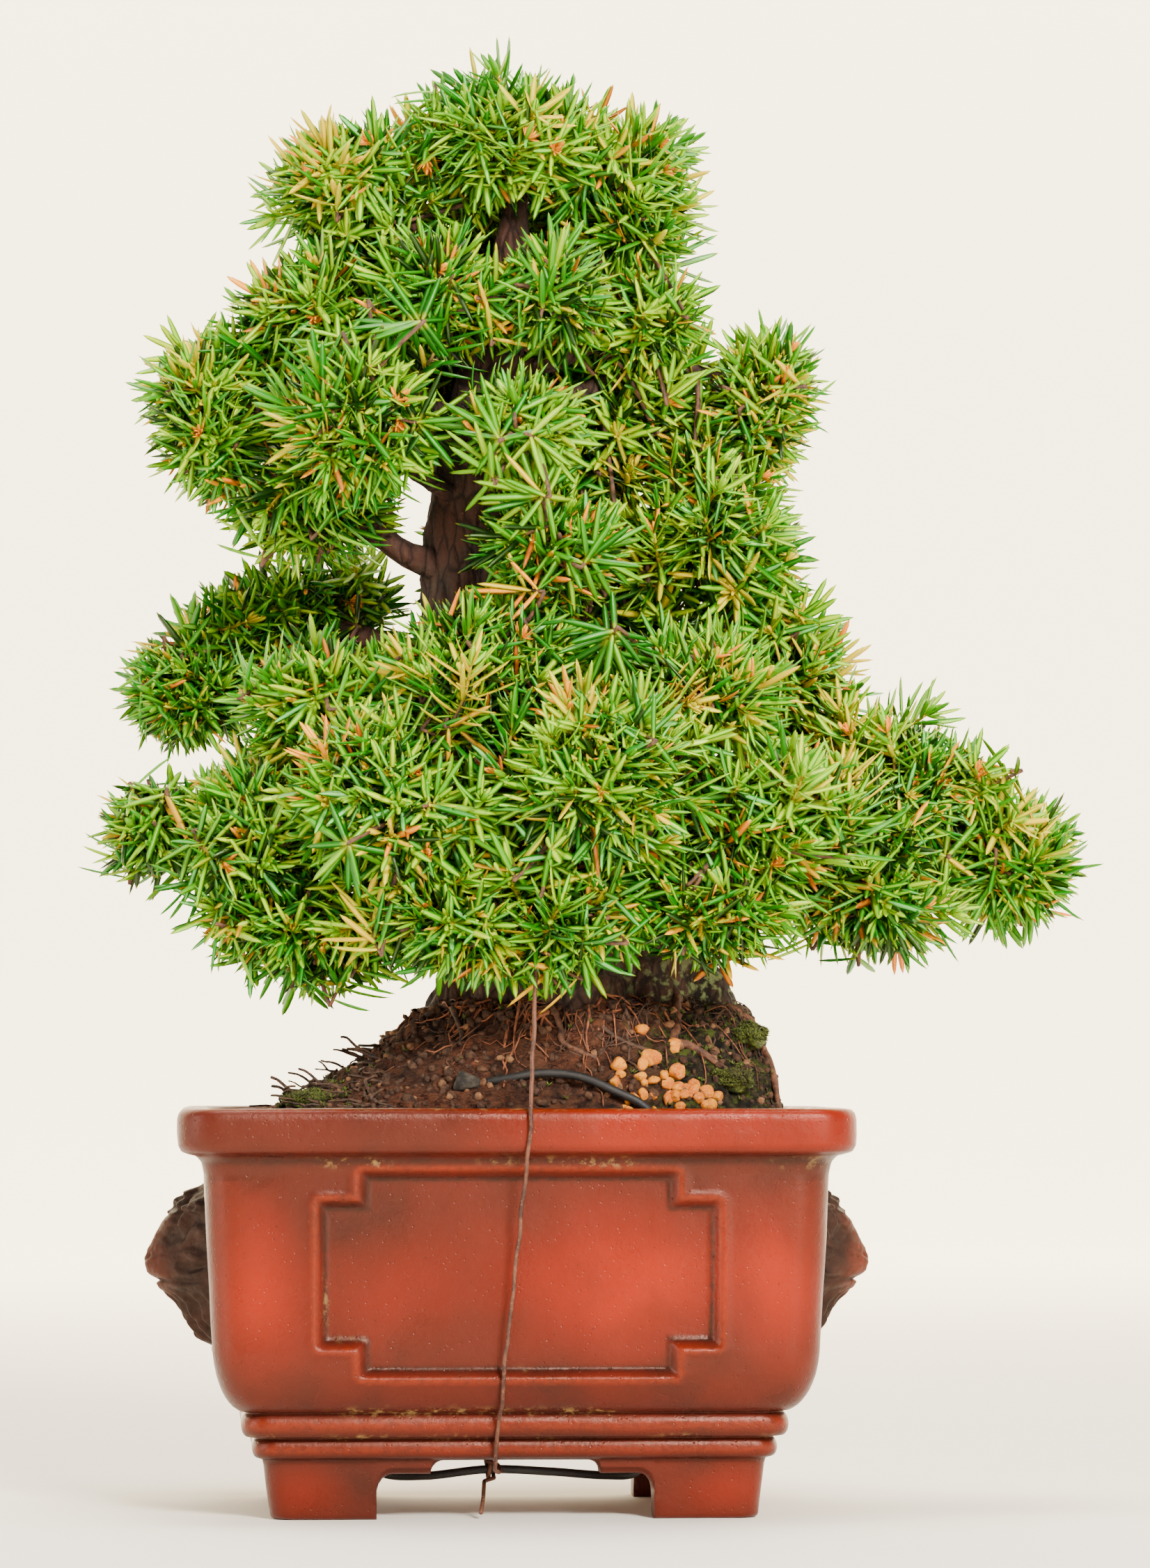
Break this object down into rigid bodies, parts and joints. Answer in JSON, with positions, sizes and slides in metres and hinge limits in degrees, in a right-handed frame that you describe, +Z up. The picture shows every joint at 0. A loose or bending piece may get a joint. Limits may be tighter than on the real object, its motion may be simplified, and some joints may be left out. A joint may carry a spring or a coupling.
{
  "type": "bonsai tree in a pot",
  "caption": "Conifer bonsai with a stout trunk, spreading needle foliage and a mossy root mound, wired into a footed rectangular burnished clay pot with a beast mask on each end.",
  "frame": {"origin": "middle of the whole model's footprint, on the surface the pot's feet rest on", "axes": "+Z up; the pot's long front, with its sunk panel, faces -Y; +X is the viewer's right when facing the front"},
  "size_m": [0.2144, 0.1362, 0.3095],
  "materials": {
    "pot_clay": "semi-gloss burnished unglazed red-brown clay with darker worn edges",
    "mask_clay": "dull dark brown clay, rubbed red on the muzzle",
    "bark": "rough dark brown bark",
    "foliage": "satin green needles with a pale band",
    "moss": "matte green moss",
    "root_fibre": "rough reddish fibrous roots and dark soil",
    "soil": "rough dark granular potting soil",
    "akadama": "matte yellow-orange baked clay grains",
    "dark_stone": "rough dark grey gravel",
    "screen_plastic": "matte black plastic mesh",
    "anchor_wire": "black anodised soft aluminium",
    "guy_wire": "rusty brown drawn iron wire"
  },
  "bodies": {
    "root": {"akadama_grain_1": "akadama", "akadama_grain_2": "akadama", "akadama_grain_3": "akadama", "akadama_grain_4": "akadama", "akadama_grain_5": "akadama", "akadama_grain_6": "akadama", "anchor_wire": "anchor_wire", "dark_stone": "dark_stone", "drain_screen_left": "screen_plastic", "drain_screen_right": "screen_plastic", "foliage_back_left": "foliage", "foliage_back_left_outer": "foliage", "foliage_centre_front": "foliage", "foliage_centre_low": "foliage", "foliage_crown_back": "foliage", "foliage_crown_front": "foliage", "foliage_crown_left": "foliage", "foliage_crown_right": "foliage", "foliage_crown_right_low": "foliage", "foliage_crown_top": "foliage", "foliage_mid_back": "foliage", "foliage_right_mid": "foliage", "foliage_right_upper": "foliage", "foliage_right_upper_inner": "foliage", "foliage_skirt_back": "foliage", "foliage_skirt_back_left": "foliage", "foliage_skirt_front": "foliage", "foliage_skirt_front_left": "foliage", "foliage_skirt_front_low": "foliage", "foliage_skirt_front_right": "foliage", "foliage_skirt_left": "foliage", "foliage_skirt_left_low": "foliage", "foliage_skirt_left_tip": "foliage", "foliage_skirt_mid_right": "foliage", "foliage_skirt_right": "foliage", "foliage_skirt_right_low": "foliage", "foliage_skirt_right_tip": "foliage", "foliage_skirt_top": "foliage", "foliage_skirt_top_left": "foliage", "foliage_skirt_top_right": "foliage", "foliage_upper_left_back": "foliage", "foliage_upper_left_front": "foliage", "foliage_upper_left_inner": "foliage", "foliage_upper_left_low": "foliage", "foliage_upper_left_outer": "foliage", "foliage_upper_left_shoulder": "foliage", "guy_wire": "guy_wire", "lion_mask_left": "mask_clay", "lion_mask_right": "mask_clay", "moss_front_right": "moss", "moss_left": "moss", "moss_right": "moss", "pot": "pot_clay", "potting_soil": "soil", "root_mat": "root_fibre", "screen_clip_left": "anchor_wire", "screen_clip_right": "anchor_wire", "tree_wood": "bark"}
  },
  "joints": []
}
